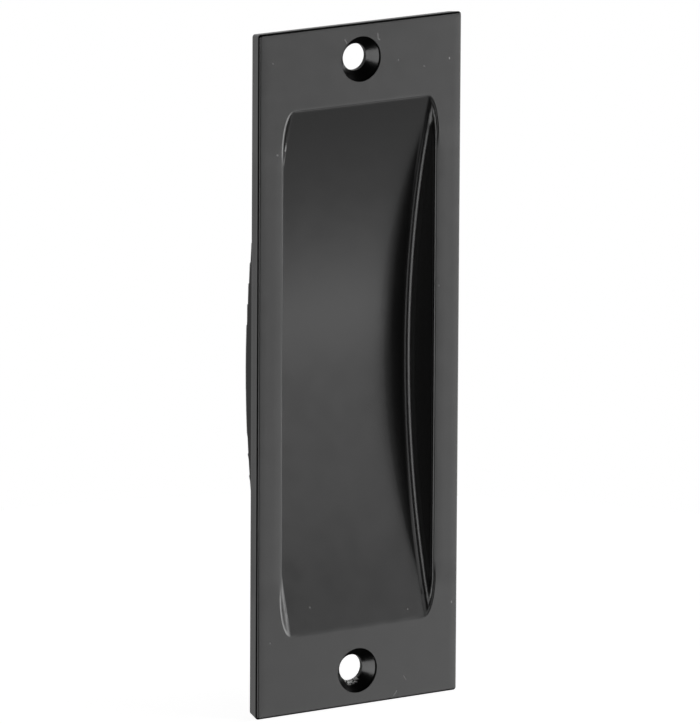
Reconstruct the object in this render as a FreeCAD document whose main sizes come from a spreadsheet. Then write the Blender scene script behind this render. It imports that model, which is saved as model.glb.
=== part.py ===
"""Pocket door pull: a cast face plate with a dished finger pocket and two screw holes.

Millimetres. X runs across the plate, Z up it, and the face looks along -Y. The origin is
midway between the screw holes on the back of the plate, the plane that seats on the door.
"""
import FreeCAD
import Part
import Sketcher
import math
import os

# Driving sizes: alias, value, what it measures
SIZES = (
    ("plate_height", 120.0, "face plate, top to bottom over its rounded edges"),
    ("plate_width", 40.6, "face plate, side to side over its rounded edges"),
    ("plate_thickness", 3.0, "face plate, front to back"),
    ("plate_draft", 9.0, "lean of the plate's sides, inwards to the back, in degrees"),
    ("plate_edge_round", 0.5, "radius along the front edges and the four corners of the plate"),
    ("end_land", 14.0, "flat face above and below the finger pocket"),
    ("pocket_width", 30.2, "finger pocket between its side walls"),
    ("pocket_depth", 7.75, "finger pocket from the face to the middle of its floor"),
    ("floor_fillet", 1.6, "radius between the pocket's floor and its side walls"),
    ("rim_round", 0.75, "radius along the pocket's rim"),
    ("shell_wall", 2.1, "metal behind the floor and beside the walls"),
    ("shell_edge_round", 0.8, "radius along the back of the bulge"),
    ("hole_inset", 6.2, "centre of a screw hole from the end of the plate"),
    ("screw_clearance_hole", 4.7, "diameter of the hole that a screw passes through"),
    ("screw_head_seat", 7.9, "diameter of the countersink at the face"),
    ("screw_head_sink", 0.6, "how far a screw head sits below the face"),
    ("screw_head_angle", 90.0, "included angle of the countersink, in degrees"),
)

# Sizes that follow: alias, formula, what it measures
DERIVED = (
    ("edge_loss", "=plate_edge_round * (tan(plate_draft) + 1 / cos(plate_draft) - 1)",
     "what the rounded front edge takes off each side of the sharp outline"),
    ("outline_width", "=plate_width + 2 * edge_loss", "sharp outline of the face, side to side"),
    ("outline_height", "=plate_height + 2 * edge_loss", "sharp outline of the face, top to bottom"),
    ("hole_spacing", "=plate_height - 2 * hole_inset", "between the centres of the screw holes"),
    ("pocket_length", "=plate_height - 2 * end_land", "finger pocket on the face, top to bottom"),
    ("floor_radius", "=(pocket_length ^ 2 / 4 + pocket_depth ^ 2) / (2 * pocket_depth)",
     "arc of the pocket's floor, seen from the side"),
    ("floor_y", "=pocket_depth - plate_thickness", "middle of the floor behind the seat plane"),
    ("axis_y", "=floor_y - floor_radius", "axis that the floor turns about, in front of the face"),
    ("shell_radius", "=floor_radius + shell_wall", "arc of the bulge's back"),
    ("shell_width", "=pocket_width + 2 * shell_wall", "bulge, side to side"),
)

TOLERANCE = 1e-4


def make_sheet(doc):
    """Write every size to its own row of a sheet, with the alias that the features use."""
    sheet = doc.addObject("Spreadsheet::Sheet", "sizes")
    rows = [(alias, str(value), note) for alias, value, note in SIZES] + list(DERIVED)
    for row, (alias, content, note) in enumerate(rows, start=1):
        sheet.set("A%d" % row, note)
        sheet.set("B%d" % row, content)
        sheet.setAlias("B%d" % row, alias)
    doc.recompute()
    return sheet


def add_sketch(body, name, role):
    """Start a sketch on one of the body's own origin planes."""
    sketch = body.newObject("Sketcher::SketchObject", name)
    plane = next(item for item in body.Origin.OriginFeatures if item.Role == role)
    sketch.AttachmentSupport = [(plane, "")]
    sketch.MapMode = "FlatFace"
    return sketch


def constrain(sketch, *what):
    """Add one constraint to a sketch."""
    return sketch.addConstraint(Sketcher.Constraint(*what))


def drive(sketch, name, formula, *what):
    """Add one named dimension to a sketch and bind it to the sheet."""
    index = constrain(sketch, *what)
    sketch.renameConstraint(index, name)
    sketch.setExpression("Constraints." + name, formula)


def line(sketch, start, end):
    """Draw a straight line in a sketch and return its index."""
    points = [FreeCAD.Vector(*point, 0) for point in (start, end)]
    return sketch.addGeometry(Part.LineSegment(*points), False)


def arc(sketch, centre, radius, start_angle, end_angle):
    """Draw a circular arc in a sketch, anticlockwise in radians, and return its index."""
    circle = Part.Circle(FreeCAD.Vector(*centre, 0), FreeCAD.Vector(0, 0, 1), radius)
    return sketch.addGeometry(Part.ArcOfCircle(circle, start_angle, end_angle), False)


def pad_plate(body, sizes):
    """Face plate: a rectangle on the face, padded back to the seat plane with sides that lean in."""
    sketch = add_sketch(body, "plate_outline", "XZ_Plane")
    sketch.setExpression("AttachmentOffset.Base.z", "sizes.plate_thickness")
    half_width = sizes.outline_width / 2
    half_height = sizes.outline_height / 2
    corners = [(-half_width, -half_height), (half_width, -half_height),
               (half_width, half_height), (-half_width, half_height)]
    sides = [line(sketch, corners[i], corners[(i + 1) % 4]) for i in range(4)]
    for i, side in enumerate(sides):
        constrain(sketch, "Coincident", side, 2, sides[(i + 1) % 4], 1)
        constrain(sketch, "Vertical" if i % 2 else "Horizontal", side)
    constrain(sketch, "Symmetric", sides[0], 1, sides[2], 1, -1, 1)
    drive(sketch, "width", "sizes.outline_width",
          "DistanceX", sides[0], 1, sides[0], 2, sizes.outline_width)
    drive(sketch, "height", "sizes.outline_height",
          "DistanceY", sides[1], 1, sides[1], 2, sizes.outline_height)
    pad = body.newObject("PartDesign::Pad", "plate")
    pad.Profile = sketch
    pad.Reversed = True
    pad.setExpression("Length", "sizes.plate_thickness")
    pad.setExpression("TaperAngle", "-sizes.plate_draft")
    return pad


def pad_bulge(body, sizes):
    """Bulge behind the pocket: a circular segment that stands on the seat plane."""
    sketch = add_sketch(body, "bulge_side", "YZ_Plane")
    half_angle = math.acos(-sizes.axis_y / sizes.shell_radius)
    half_chord = sizes.shell_radius * math.sin(half_angle)
    back = arc(sketch, (sizes.axis_y, 0), sizes.shell_radius, -half_angle, half_angle)
    seat = line(sketch, (0, half_chord), (0, -half_chord))
    constrain(sketch, "Coincident", back, 2, seat, 1)
    constrain(sketch, "Coincident", seat, 2, back, 1)
    constrain(sketch, "PointOnObject", seat, 1, -2)
    constrain(sketch, "PointOnObject", seat, 2, -2)
    constrain(sketch, "PointOnObject", back, 3, -1)
    drive(sketch, "radius", "sizes.shell_radius", "Radius", back, sizes.shell_radius)
    drive(sketch, "axis", "-sizes.axis_y", "DistanceX", back, 3, -1, 1, -sizes.axis_y)
    pad = body.newObject("PartDesign::Pad", "bulge")
    pad.Profile = sketch
    pad.Midplane = True
    pad.setExpression("Length", "sizes.shell_width")
    return pad


def groove_pocket(body, sizes):
    """Finger pocket: a trough with filleted floor corners, turned about the axis across the plate."""
    sketch = add_sketch(body, "pocket_section", "XY_Plane")
    half_width = sizes.pocket_width / 2
    fillet = sizes.floor_fillet
    floor_y = sizes.floor_y
    # The section reaches as far in front of the face as the floor lies behind it.
    mouth_y = -sizes.plate_thickness - sizes.pocket_depth
    wall_foot_y = floor_y - fillet
    floor_end_x = half_width - fillet
    floor = line(sketch, (-floor_end_x, floor_y), (floor_end_x, floor_y))
    right_fillet = arc(sketch, (floor_end_x, wall_foot_y), fillet, 0, math.pi / 2)
    right_wall = line(sketch, (half_width, wall_foot_y), (half_width, mouth_y))
    mouth = line(sketch, (half_width, mouth_y), (-half_width, mouth_y))
    left_wall = line(sketch, (-half_width, mouth_y), (-half_width, wall_foot_y))
    left_fillet = arc(sketch, (-floor_end_x, wall_foot_y), fillet, math.pi / 2, math.pi)
    constrain(sketch, "Tangent", floor, 2, right_fillet, 2)
    constrain(sketch, "Tangent", right_fillet, 1, right_wall, 1)
    constrain(sketch, "Coincident", right_wall, 2, mouth, 1)
    constrain(sketch, "Coincident", mouth, 2, left_wall, 1)
    constrain(sketch, "Tangent", left_wall, 2, left_fillet, 2)
    constrain(sketch, "Tangent", left_fillet, 1, floor, 1)
    constrain(sketch, "Symmetric", mouth, 1, mouth, 2, -2)
    constrain(sketch, "Vertical", right_wall)
    constrain(sketch, "Vertical", left_wall)
    constrain(sketch, "Horizontal", floor)
    constrain(sketch, "Equal", right_fillet, left_fillet)
    drive(sketch, "width", "sizes.pocket_width",
          "DistanceX", mouth, 2, mouth, 1, sizes.pocket_width)
    drive(sketch, "fillet", "sizes.floor_fillet", "Radius", right_fillet, fillet)
    drive(sketch, "floor", "sizes.floor_y", "DistanceY", -1, 1, floor, 2, floor_y)
    drive(sketch, "mouth", "sizes.plate_thickness + sizes.pocket_depth",
          "DistanceY", mouth, 1, -1, 1, -mouth_y)
    axis = line(sketch, (-half_width, sizes.axis_y), (half_width, sizes.axis_y))
    sketch.toggleConstruction(axis)
    constrain(sketch, "Symmetric", axis, 1, axis, 2, -2)
    drive(sketch, "axis_length", "sizes.pocket_width",
          "DistanceX", axis, 1, axis, 2, sizes.pocket_width)
    drive(sketch, "axis", "-sizes.axis_y", "DistanceY", axis, 1, -1, 1, -sizes.axis_y)
    groove = body.newObject("PartDesign::Groove", "pocket")
    groove.Profile = sketch
    groove.ReferenceAxis = (sketch, ["Axis0"])
    groove.Midplane = True
    groove.Angle = 180
    return groove


def drill_holes(body, sizes):
    """Screw holes: countersunk through the plate, above and below the pocket."""
    sketch = add_sketch(body, "hole_centres", "XZ_Plane")
    sketch.setExpression("AttachmentOffset.Base.z", "sizes.plate_thickness")
    radius = sizes.screw_clearance_hole / 2
    across = FreeCAD.Vector(0, 0, 1)
    top, bottom = [sketch.addGeometry(Part.Circle(FreeCAD.Vector(0, z, 0), across, radius), False)
                   for z in (sizes.hole_spacing / 2, -sizes.hole_spacing / 2)]
    constrain(sketch, "PointOnObject", top, 3, -2)
    constrain(sketch, "Symmetric", top, 3, bottom, 3, -1, 1)
    constrain(sketch, "Equal", top, bottom)
    drive(sketch, "spacing", "sizes.hole_spacing",
          "DistanceY", bottom, 3, top, 3, sizes.hole_spacing)
    drive(sketch, "diameter", "sizes.screw_clearance_hole",
          "Diameter", top, sizes.screw_clearance_hole)
    body.Document.recompute()
    hole = body.newObject("PartDesign::Hole", "screw_holes")
    hole.Profile = sketch
    hole.ThreadType = "None"
    hole.DepthType = "ThroughAll"
    hole.setExpression("Diameter", "sizes.screw_clearance_hole")
    hole.HoleCutType = "Counterdrill"
    hole.HoleCutCustomValues = True
    hole.setExpression("HoleCutDiameter", "sizes.screw_head_seat")
    hole.setExpression("HoleCutDepth", "sizes.screw_head_sink")
    hole.setExpression("HoleCutCountersinkAngle", "sizes.screw_head_angle")
    return hole


def round_edges(body, name, chosen, size):
    """Fillet the edges of the body that the chosen test picks."""
    body.Document.recompute()
    base = body.Tip
    edges = ["Edge%d" % number for number, edge in enumerate(base.Shape.Edges, start=1)
             if chosen(edge)]
    fillet = body.newObject("PartDesign::Fillet", name)
    fillet.Base = (base, edges)
    fillet.setExpression("Radius", size)
    return fillet


def near(first, second):
    """True if two lengths agree."""
    return abs(first - second) < TOLERANCE


def edge_tests(sizes):
    """Tests that pick the plate's outer edges, the pocket's rim and the bulge's back edges."""
    half_width = sizes.outline_width / 2
    half_height = sizes.outline_height / 2
    face_y = -sizes.plate_thickness
    half_shell = sizes.shell_width / 2

    def on_face(box):
        return near(box.YMin, face_y) and near(box.YMax, face_y)

    def on_border(box):
        return (near(abs(box.XMin), half_width) and near(box.XMin, box.XMax)
                or near(abs(box.ZMin), half_height) and near(box.ZMin, box.ZMax))

    def on_corner(box):
        return (near(box.YLength, sizes.plate_thickness)
                and near(max(abs(box.XMin), abs(box.XMax)), half_width)
                and near(max(abs(box.ZMin), abs(box.ZMax)), half_height))

    def plate_edge(edge):
        box = edge.BoundBox
        return on_corner(box) or on_border(box) and on_face(box)

    def rim_edge(edge):
        box = edge.BoundBox
        return on_face(box) and not on_border(box)

    def shell_edge(edge):
        box = edge.BoundBox
        return near(abs(box.XMin), half_shell) and near(box.XMin, box.XMax) and box.YMax > TOLERANCE

    return plate_edge, rim_edge, shell_edge


def build_pull(doc, sizes):
    """Model the pull feature by feature, and see that each one adds or takes metal as it should."""
    body = doc.addObject("PartDesign::Body", "flush_pull")
    body.Label = "flush_pull"
    plate_edge, rim_edge, shell_edge = edge_tests(sizes)
    steps = (
        (lambda: pad_plate(body, sizes), 1),
        (lambda: pad_bulge(body, sizes), 1),
        (lambda: round_edges(body, "bulge_edges", shell_edge, "sizes.shell_edge_round"), -1),
        (lambda: groove_pocket(body, sizes), -1),
        (lambda: round_edges(body, "pocket_rim", rim_edge, "sizes.rim_round"), -1),
        (lambda: round_edges(body, "plate_edges", plate_edge, "sizes.plate_edge_round"), -1),
        (lambda: drill_holes(body, sizes), -1),
    )
    volume = 0.0
    for step, sign in steps:
        feature = step()
        doc.recompute()
        change = feature.Shape.Volume - volume
        if change * sign <= 0:
            raise RuntimeError("%s does not change the metal as it should" % feature.Name)
        volume = feature.Shape.Volume
    return body


def check(doc, part):
    """Stop if any object failed or the part is not one sound solid."""
    failed = [item.Name for item in doc.Objects if {"Invalid", "Error"} & set(item.State)]
    if failed:
        raise RuntimeError("failed: %s" % ", ".join(failed))
    shape = part.Shape
    if shape.isNull() or not shape.isValid() or len(shape.Solids) != 1:
        raise RuntimeError("%s is not one sound solid" % part.Label)


document = FreeCAD.newDocument("pocket_door_pull")
pull = build_pull(document, make_sheet(document))
document.recompute()
check(document, pull)
os.makedirs("parts", exist_ok=True)
pull.Shape.exportStep("parts/%s.step" % pull.Label)
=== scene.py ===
"""Pocket door pull in satin black, lit and framed as in its photograph."""
import bpy
import bmesh
import math
from mathutils import Matrix, Vector


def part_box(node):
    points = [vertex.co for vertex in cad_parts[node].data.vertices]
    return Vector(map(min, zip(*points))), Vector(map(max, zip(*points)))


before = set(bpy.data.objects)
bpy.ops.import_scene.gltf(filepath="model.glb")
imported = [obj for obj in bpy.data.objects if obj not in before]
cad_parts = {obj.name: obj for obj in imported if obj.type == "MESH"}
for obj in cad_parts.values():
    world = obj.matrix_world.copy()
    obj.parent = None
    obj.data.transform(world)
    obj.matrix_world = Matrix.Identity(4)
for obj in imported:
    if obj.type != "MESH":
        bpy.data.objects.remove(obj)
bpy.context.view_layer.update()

MM = 0.001

# Faces of the pull, in metres, from its box in the frame
LOW_CORNER, HIGH_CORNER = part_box("flush_pull")
HALF_WIDTH = HIGH_CORNER[0]
HALF_HEIGHT = HIGH_CORNER[2]
FACE_Y = LOW_CORNER[1]
STANDING_Z = LOW_CORNER[2]

# Finger pocket on the face
POCKET_HALF_WIDTH = 15.1 * MM
POCKET_HALF_LENGTH = 46.0 * MM
POCKET_DEPTH = 7.75 * MM
FLOOR_ARC_RADIUS = (POCKET_HALF_LENGTH ** 2 + POCKET_DEPTH ** 2) / (2 * POCKET_DEPTH)
FLOOR_ARC_Y = FACE_Y + POCKET_DEPTH - FLOOR_ARC_RADIUS

# Camera on the photograph's line of sight: degrees and millimetres, framing in its pixels
CAMERA_AZIMUTH = 31.98
CAMERA_ELEVATION = 13.18
CAMERA_ROLL = 0.339
CAMERA_DISTANCE = 2043.1
CAMERA_TARGET = (-1.90, -3.0, 1.029)
PIXELS_PER_MM = 5.839
IMAGE_WIDTH = 700
SENSOR_WIDTH = 36.0
CAMERA_CLIP = 100.0

# Satin black coat: cloudy roughness between two limits, and a fine grain
COAT_COLOUR = (0.002, 0.002, 0.002, 1.0)
COAT_ROUGHNESS = (0.235, 0.265)
COAT_IOR = 1.5
CLOUD_SIZE = 3.0 * MM
CLOUD_DETAIL = 3.0
CLOUD_LIMITS = (0.3, 0.7)
GRAIN_SIZE = 0.25 * MM
GRAIN_DETAIL = 1.0
GRAIN_HEIGHT = 0.0009 * MM

# Roughness that dust and bare metal add
WORN_ROUGHNESS = 0.3

# Dust specks and fine scratches: ends across and up the face in millimetres, half width, strength
DUST_COLOUR = (0.2, 0.2, 0.2, 1.0)
MARK_CORE = 0.4
MARKS = (
    ((3.3, 57.9), (3.4, 57.0), 0.15, 0.35),
    ((3.4, 57.0), (3.7, 56.8), 0.15, 0.45),
    ((-3.3, 57.5), (-2.9, 56.9), 0.13, 0.4),
    ((8.0, -58.5), (7.5, -59.2), 0.12, 0.45),
    ((9.4, -56.0), (9.9, -56.8), 0.12, 0.3),
    ((-17.7, 54.9), (-17.6, 54.8), 0.2, 0.15),
    ((7.5, 52.9), (7.5, 52.8), 0.15, 0.3),
    ((12.6, 51.3), (12.8, 51.2), 0.2, 0.2),
    ((17.8, 52.2), (17.8, 52.0), 0.15, 1.0),
    ((-8.9, -41.7), (-8.8, -41.8), 0.22, 0.3),
    ((10.5, -44.3), (10.5, -44.4), 0.15, 0.5),
    ((19.1, -44.0), (19.1, -44.2), 0.17, 0.6),
    ((-17.7, -46.6), (-17.7, -46.7), 0.15, 0.3),
    ((-16.75, 38.9), (-16.6, 38.8), 0.2, 0.35),
    ((16.0, 12.5), (16.0, 12.3), 0.15, 0.25),
)

# Bare metal where the coat has flaked off the lower hole's wall: ends of the patch in millimetres
METAL_COLOUR = (0.85, 0.85, 0.84, 1.0)
FLAKED_FROM = (-0.6, -0.7, -56.1)
FLAKED_TO = (0.7, -0.5, -55.9)
FLAKED_REACH = 1.1
FLAKE_SIZE = 0.34 * MM
FLAKE_DETAIL = 1.0
FLAKE_LIMITS = (0.48, 0.51)

# Depth over which the marks and eased edges of the front fade out
FRONT_DEPTH = (-2.4 * MM, -0.1 * MM)

# Eased edges of the face: how far the easing reaches, and how steep it is at the edge
OUTER_ROUND = 0.5 * MM
OUTER_EASED = (1.2 * MM, 0.014)
OUTER_CRISP = 0.16 * MM
RIM_ROUND = 0.75 * MM
RIM_EASED = (1.6 * MM, 0.015)
END_EASED = (0.45 * MM, 0.16)
END_CORNER = (12.0 * MM, 14.0 * MM)

# Side rims are crisper than their round: how much of the round stays flat, and where that fades out
LEFT_CRISP = 0.25 * MM
RIGHT_CRISP = 0.36 * MM
RIM_FADE = (36.0 * MM, 41.0 * MM)

# The coat lies rougher on the pocket's steep side walls: limits across, below the face, behind the floor
WALL_ACROSS = (14.8 * MM, 15.05 * MM)
WALL_DEPTH = (0.7 * MM, 1.2 * MM)
WALL_BEHIND = (0.5 * MM, 1.5 * MM)
WALL_ROUGHNESS = 0.25

# Softboxes round the pull: name, azimuth, elevation, width and height in degrees, radiance
SOFTBOX_DISTANCE = 4.0
SOFTBOXES = (
    ("right_softbox", -68.5, 5.0, 69.0, 61.0, 2.25),
    ("inner_right_softbox", -55.0, -8.0, 30.0, 40.0, 3.3),
    ("low_softbox", -40.0, -19.0, 45.0, 52.0, 0.72),
    ("middle_softbox", -32.0, -18.3, 8.0, 6.5, 1.2),
    ("front_softbox", -4.5, 13.5, 34.0, 18.0, 1.4),
    ("low_front_softbox", 8.0, -13.0, 10.0, 52.0, 1.8),
    ("left_softbox", 54.0, -13.0, 16.0, 52.0, 4.2),
    ("rear_right_softbox", -118.0, 20.0, 30.0, 44.0, 0.8),
)

# Backdrop in the reflections: how far behind the pull it starts, and where it is full
WHITE = (1.0, 1.0, 1.0, 1.0)
BACKDROP_EDGE = (0.6, 1.0)
BACKDROP_LEVEL = 0.7

# Round floor
FLOOR_RADIUS = 150 * MM
FLOOR_SEGMENTS = 128
FLOOR_ROUGHNESS = 0.9
FLOOR_COLOUR = (0.4, 0.4, 0.4, 1.0)
FLOOR_WHITE = 0.93


def direction(azimuth, elevation):
    """Unit vector, in degrees: 0 azimuth is straight ahead of the face, positive to its left."""
    side = math.radians(azimuth)
    rise = math.radians(elevation)
    return Vector((-math.sin(side) * math.cos(rise), -math.cos(side) * math.cos(rise), math.sin(rise)))


def add_camera():
    """Camera on the photograph's line of sight, with the photograph's framing."""
    back = direction(CAMERA_AZIMUTH, CAMERA_ELEVATION)
    right = Vector((0.0, 0.0, 1.0)).cross(back).normalized()
    turn = Matrix((right, back.cross(right), back)).transposed().to_4x4()
    roll = Matrix.Rotation(math.radians(CAMERA_ROLL), 4, "Z")
    place = (Vector(CAMERA_TARGET) + CAMERA_DISTANCE * back) * MM
    camera = bpy.data.objects.new("camera", bpy.data.cameras.new("camera"))
    camera.matrix_world = Matrix.Translation(place) @ turn @ roll
    camera.data.sensor_fit = "HORIZONTAL"
    camera.data.sensor_width = SENSOR_WIDTH
    camera.data.lens = PIXELS_PER_MM * CAMERA_DISTANCE * SENSOR_WIDTH / IMAGE_WIDTH
    camera.data.clip_end = CAMERA_CLIP
    bpy.context.scene.collection.objects.link(camera)
    bpy.context.scene.camera = camera


def feed(tree, socket, value):
    """Link a socket into another one, or set a plain value on it."""
    if isinstance(value, bpy.types.NodeSocket):
        tree.links.new(value, socket)
    else:
        socket.default_value = value


def calc(tree, operation, *values):
    """Math node on sockets or numbers; returns its output socket."""
    node = tree.nodes.new("ShaderNodeMath")
    node.operation = operation
    for socket, value in zip(node.inputs, values):
        feed(tree, socket, value)
    return node.outputs["Value"]


def vector_calc(tree, operation, first, second):
    """Vector math node on two sockets or vectors; returns its outputs."""
    node = tree.nodes.new("ShaderNodeVectorMath")
    node.operation = operation
    feed(tree, node.inputs[0], first)
    feed(tree, node.inputs[1], second)
    return node.outputs


def ramp(tree, value, start, end, low, high):
    """Smooth step from low to high as the value goes from start to end."""
    node = tree.nodes.new("ShaderNodeMapRange")
    node.interpolation_type = "SMOOTHSTEP"
    for name, item in (("Value", value), ("From Min", start), ("From Max", end),
                       ("To Min", low), ("To Max", high)):
        feed(tree, node.inputs[name], item)
    return node.outputs["Result"]


def noise(tree, place, grain_size, detail):
    """Noise from 0 to 1 with grains of the given size in metres."""
    node = tree.nodes.new("ShaderNodeTexNoise")
    node.inputs["Scale"].default_value = 1.0 / grain_size
    node.inputs["Detail"].default_value = detail
    tree.links.new(place, node.inputs["Vector"])
    return node.outputs["Fac"]


def eased_drop(tree, distance, reach, slope):
    """Height that falls off towards an edge, from the distance to that edge."""
    near = calc(tree, "MAXIMUM", calc(tree, "SUBTRACT", reach, calc(tree, "MAXIMUM", distance, 0.0)), 0.0)
    return calc(tree, "MULTIPLY", calc(tree, "MULTIPLY", near, near), slope / (2 * reach))


def crisp_lift(tree, inside, radius, reach):
    """Height that cancels the first part of an edge's round, from the distance inside that round."""
    over = calc(tree, "MINIMUM", calc(tree, "MAXIMUM", calc(tree, "MULTIPLY", inside, -1.0), 0.0), reach)
    fall = calc(tree, "SQRT", calc(tree, "SUBTRACT", radius ** 2, calc(tree, "MULTIPLY", over, over)))
    return calc(tree, "SUBTRACT", radius, fall)


def side_rim(tree, across, crisp):
    """Height over one side rim of the pocket, from the distance towards that side; 0 in the pocket."""
    past_rim = calc(tree, "SUBTRACT", across, POCKET_HALF_WIDTH + RIM_ROUND)
    lift = crisp_lift(tree, past_rim, RIM_ROUND, crisp)
    full_lift = RIM_ROUND - math.sqrt(RIM_ROUND ** 2 - crisp ** 2)
    level = calc(tree, "SUBTRACT", lift, full_lift)
    return calc(tree, "SUBTRACT", level, eased_drop(tree, past_rim, *RIM_EASED))


def eased_edges(tree, side, across, along, front):
    """Height of the coat over the face's outer edges, the pocket's side rims and its two ends."""
    to_side = calc(tree, "SUBTRACT", HALF_WIDTH - OUTER_ROUND, across)
    to_end = calc(tree, "SUBTRACT", HALF_HEIGHT - OUTER_ROUND, along)
    inside = calc(tree, "MINIMUM", to_side, to_end)
    outer = calc(tree, "SUBTRACT", crisp_lift(tree, inside, OUTER_ROUND, OUTER_CRISP),
                 eased_drop(tree, inside, *OUTER_EASED))
    right = side_rim(tree, side, RIGHT_CRISP)
    left = side_rim(tree, calc(tree, "MULTIPLY", side, -1.0), LEFT_CRISP)
    beside_pocket = ramp(tree, along, *RIM_FADE, 1.0, 0.0)
    rims = calc(tree, "MULTIPLY", calc(tree, "ADD", right, left), beside_pocket)
    from_end = calc(tree, "ABSOLUTE", calc(tree, "SUBTRACT", along, POCKET_HALF_LENGTH))
    off_corner = ramp(tree, across, *END_CORNER, 1.0, 0.0)
    end = calc(tree, "MULTIPLY", eased_drop(tree, from_end, *END_EASED), off_corner)
    return calc(tree, "MULTIPLY", calc(tree, "SUBTRACT", calc(tree, "ADD", outer, rims), end), front)


def wall_mask(tree, place, across, depth):
    """1 on the pocket's two side walls, 0 elsewhere."""
    over_wall = ramp(tree, across, *WALL_ACROSS, 0.0, 1.0)
    under_rim = ramp(tree, depth, FACE_Y + WALL_DEPTH[0], FACE_Y + WALL_DEPTH[1], 0.0, 1.0)
    level = vector_calc(tree, "MULTIPLY", place, (0.0, 1.0, 1.0))["Vector"]
    from_axis = vector_calc(tree, "DISTANCE", level, (0.0, FLOOR_ARC_Y, 0.0))["Value"]
    behind_floor = [FLOOR_ARC_RADIUS + reach for reach in WALL_BEHIND]
    within = ramp(tree, from_axis, *behind_floor, 1.0, 0.0)
    inner_side = ramp(tree, across, POCKET_HALF_WIDTH, POCKET_HALF_WIDTH + RIM_ROUND, 1.0, 0.0)
    return calc(tree, "MULTIPLY", calc(tree, "MULTIPLY", over_wall, inner_side),
                calc(tree, "MULTIPLY", under_rim, within))


def mark_group():
    """Node group: a soft line from Start to End, 1 in its middle and 0 past its half width."""
    group = bpy.data.node_groups.new("mark", "ShaderNodeTree")
    for name, kind in (("Place", "Vector"), ("Start", "Vector"), ("End", "Vector"),
                       ("Half Width", "Float")):
        group.interface.new_socket(name, in_out="INPUT", socket_type="NodeSocket" + kind)
    group.interface.new_socket("Mask", in_out="OUTPUT", socket_type="NodeSocketFloat")
    given = group.nodes.new("NodeGroupInput").outputs
    run = vector_calc(group, "SUBTRACT", given["End"], given["Start"])["Vector"]
    gone = vector_calc(group, "SUBTRACT", given["Place"], given["Start"])["Vector"]
    length_squared = vector_calc(group, "DOT_PRODUCT", run, run)["Value"]
    share = calc(group, "DIVIDE", vector_calc(group, "DOT_PRODUCT", gone, run)["Value"], length_squared)
    share = calc(group, "MINIMUM", calc(group, "MAXIMUM", share, 0.0), 1.0)
    scaled = group.nodes.new("ShaderNodeVectorMath")
    scaled.operation = "SCALE"
    group.links.new(run, scaled.inputs["Vector"])
    group.links.new(share, scaled.inputs["Scale"])
    distance = vector_calc(group, "DISTANCE", gone, scaled.outputs["Vector"])["Value"]
    core = calc(group, "MULTIPLY", given["Half Width"], MARK_CORE)
    mask = ramp(group, distance, core, given["Half Width"], 1.0, 0.0)
    group.links.new(mask, group.nodes.new("NodeGroupOutput").inputs["Mask"])
    return group


def mark(tree, group, place, start, end, half_width):
    """One soft line, with its ends and half width in millimetres; returns its mask."""
    node = tree.nodes.new("ShaderNodeGroup")
    node.node_tree = group
    tree.links.new(place, node.inputs["Place"])
    node.inputs["Start"].default_value = Vector(start) * MM
    node.inputs["End"].default_value = Vector(end) * MM
    node.inputs["Half Width"].default_value = half_width * MM
    return node.outputs["Mask"]


def dust_mask(tree, group, place):
    """Specks and scratches as seen from the front, on whatever lies behind them."""
    flat = vector_calc(tree, "MULTIPLY", place, (1.0, 0.0, 1.0))["Vector"]
    dust = 0.0
    for (start_x, start_z), (end_x, end_z), half_width, strength in MARKS:
        line = mark(tree, group, flat, (start_x, 0.0, start_z), (end_x, 0.0, end_z), half_width)
        dust = calc(tree, "MAXIMUM", calc(tree, "MULTIPLY", line, strength), dust)
    return dust


def flaked_mask(tree, group, place):
    """Small bare flakes, 0 or 1, within the patch of the lower hole's wall."""
    patch = mark(tree, group, place, FLAKED_FROM, FLAKED_TO, FLAKED_REACH)
    flakes = ramp(tree, noise(tree, place, FLAKE_SIZE, FLAKE_DETAIL), *FLAKE_LIMITS, 0.0, 1.0)
    return calc(tree, "MULTIPLY", patch, flakes)


def blend(tree, share, first, second):
    """Colour between two others."""
    node = tree.nodes.new("ShaderNodeMix")
    node.data_type = "RGBA"
    for name, value in (("Factor_Float", share), ("A_Color", first), ("B_Color", second)):
        socket = next(item for item in node.inputs if item.identifier == name)
        feed(tree, socket, value)
    return next(item for item in node.outputs if item.identifier == "Result_Color")


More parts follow.
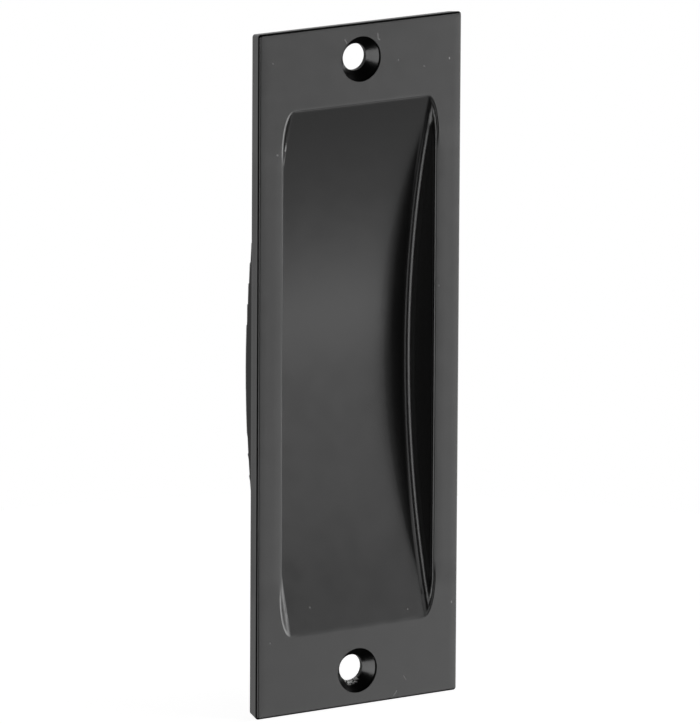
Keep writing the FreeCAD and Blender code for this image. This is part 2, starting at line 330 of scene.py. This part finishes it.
def coat_material():
    """Satin black coat on cast metal: fine even grain, eased edges, a little dust and some flaked coat."""
    material = bpy.data.materials.new("black_coat")
    material.use_nodes = True
    tree = material.node_tree
    shader = tree.nodes["Principled BSDF"]
    place = tree.nodes.new("ShaderNodeTexCoord").outputs["Object"]
    splitter = tree.nodes.new("ShaderNodeSeparateXYZ")
    tree.links.new(place, splitter.inputs["Vector"])
    split = splitter.outputs
    across = calc(tree, "ABSOLUTE", split["X"])
    group = mark_group()
    front = ramp(tree, split["Y"], *FRONT_DEPTH, 1.0, 0.0)
    dust = calc(tree, "MULTIPLY", dust_mask(tree, group, place), front)
    flaked = flaked_mask(tree, group, place)
    dusty = blend(tree, dust, COAT_COLOUR, DUST_COLOUR)
    tree.links.new(blend(tree, flaked, dusty, METAL_COLOUR), shader.inputs["Base Color"])
    tree.links.new(flaked, shader.inputs["Metallic"])
    shader.inputs["IOR"].default_value = COAT_IOR
    satin = ramp(tree, noise(tree, place, CLOUD_SIZE, CLOUD_DETAIL), *CLOUD_LIMITS, *COAT_ROUGHNESS)
    worn = calc(tree, "MULTIPLY_ADD", calc(tree, "MAXIMUM", dust, flaked), WORN_ROUGHNESS, satin)
    rough = calc(tree, "MULTIPLY_ADD", wall_mask(tree, place, across, split["Y"]), WALL_ROUGHNESS, worn)
    tree.links.new(rough, shader.inputs["Roughness"])
    grain = calc(tree, "MULTIPLY", noise(tree, place, GRAIN_SIZE, GRAIN_DETAIL), GRAIN_HEIGHT)
    bump = tree.nodes.new("ShaderNodeBump")
    bump.inputs["Distance"].default_value = 1.0
    edges = eased_edges(tree, split["X"], across, calc(tree, "ABSOLUTE", split["Z"]), front)
    tree.links.new(calc(tree, "ADD", edges, grain), bump.inputs["Height"])
    tree.links.new(bump.outputs["Normal"], shader.inputs["Normal"])
    return material


def add_softbox(name, azimuth, elevation, wide, tall, radiance):
    """Rectangular lamp that covers the given angles as seen from the pull."""
    data = bpy.data.lights.new(name, "AREA")
    data.shape = "RECTANGLE"
    data.size = 2 * SOFTBOX_DISTANCE * math.tan(math.radians(wide / 2))
    data.size_y = 2 * SOFTBOX_DISTANCE * math.tan(math.radians(tall / 2))
    data.energy = radiance * math.pi * data.size * data.size_y
    lamp = bpy.data.objects.new(name, data)
    towards = direction(azimuth, elevation)
    lamp.location = SOFTBOX_DISTANCE * towards
    lamp.rotation_euler = towards.to_track_quat("Z", "Y").to_euler()
    bpy.context.scene.collection.objects.link(lamp)


def add_world():
    """White backdrop behind the pull, in a dark room; the camera sees white all round."""
    world = bpy.data.worlds.new("studio")
    bpy.context.scene.world = world
    world.use_nodes = True
    tree = world.node_tree
    split = tree.nodes.new("ShaderNodeSeparateXYZ")
    tree.links.new(tree.nodes.new("ShaderNodeTexCoord").outputs["Generated"], split.inputs["Vector"])
    backdrop = ramp(tree, split.outputs["Y"], *BACKDROP_EDGE, 0.0, BACKDROP_LEVEL)
    seen = tree.nodes.new("ShaderNodeLightPath").outputs["Is Camera Ray"]
    background = tree.nodes["Background"]
    background.inputs["Color"].default_value = WHITE
    tree.links.new(calc(tree, "MAXIMUM", backdrop, seen), background.inputs["Strength"])


def floor_material():
    """Pale matt floor that the camera sees as white, with the pull's shadow on it."""
    material = bpy.data.materials.new("pale_floor")
    material.use_nodes = True
    tree = material.node_tree
    shader = tree.nodes["Principled BSDF"]
    shader.inputs["Base Color"].default_value = FLOOR_COLOUR
    shader.inputs["Roughness"].default_value = FLOOR_ROUGHNESS
    shader.inputs["Specular IOR Level"].default_value = 0.0
    shader.inputs["Emission Color"].default_value = WHITE
    seen = tree.nodes.new("ShaderNodeLightPath").outputs["Is Camera Ray"]
    tree.links.new(calc(tree, "MULTIPLY", seen, FLOOR_WHITE), shader.inputs["Emission Strength"])
    return material


def add_floor():
    """Round floor that the pull stands on; it takes the shadow and stays out of the coat's reflections."""
    mesh = bpy.data.meshes.new("floor")
    shape = bmesh.new()
    bmesh.ops.create_circle(shape, cap_ends=True, segments=FLOOR_SEGMENTS, radius=FLOOR_RADIUS)
    bmesh.ops.translate(shape, verts=shape.verts, vec=(0.0, 0.0, STANDING_Z))
    shape.to_mesh(mesh)
    shape.free()
    floor = bpy.data.objects.new("floor", mesh)
    floor.visible_glossy = False
    floor.visible_shadow = False
    mesh.materials.append(floor_material())
    bpy.context.scene.collection.objects.link(floor)


add_camera()
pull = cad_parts["flush_pull"]
pull.data.materials.clear()
pull.data.materials.append(coat_material())
add_floor()
add_world()
for softbox in SOFTBOXES:
    add_softbox(*softbox)
bpy.context.scene.view_settings.view_transform = "Standard"
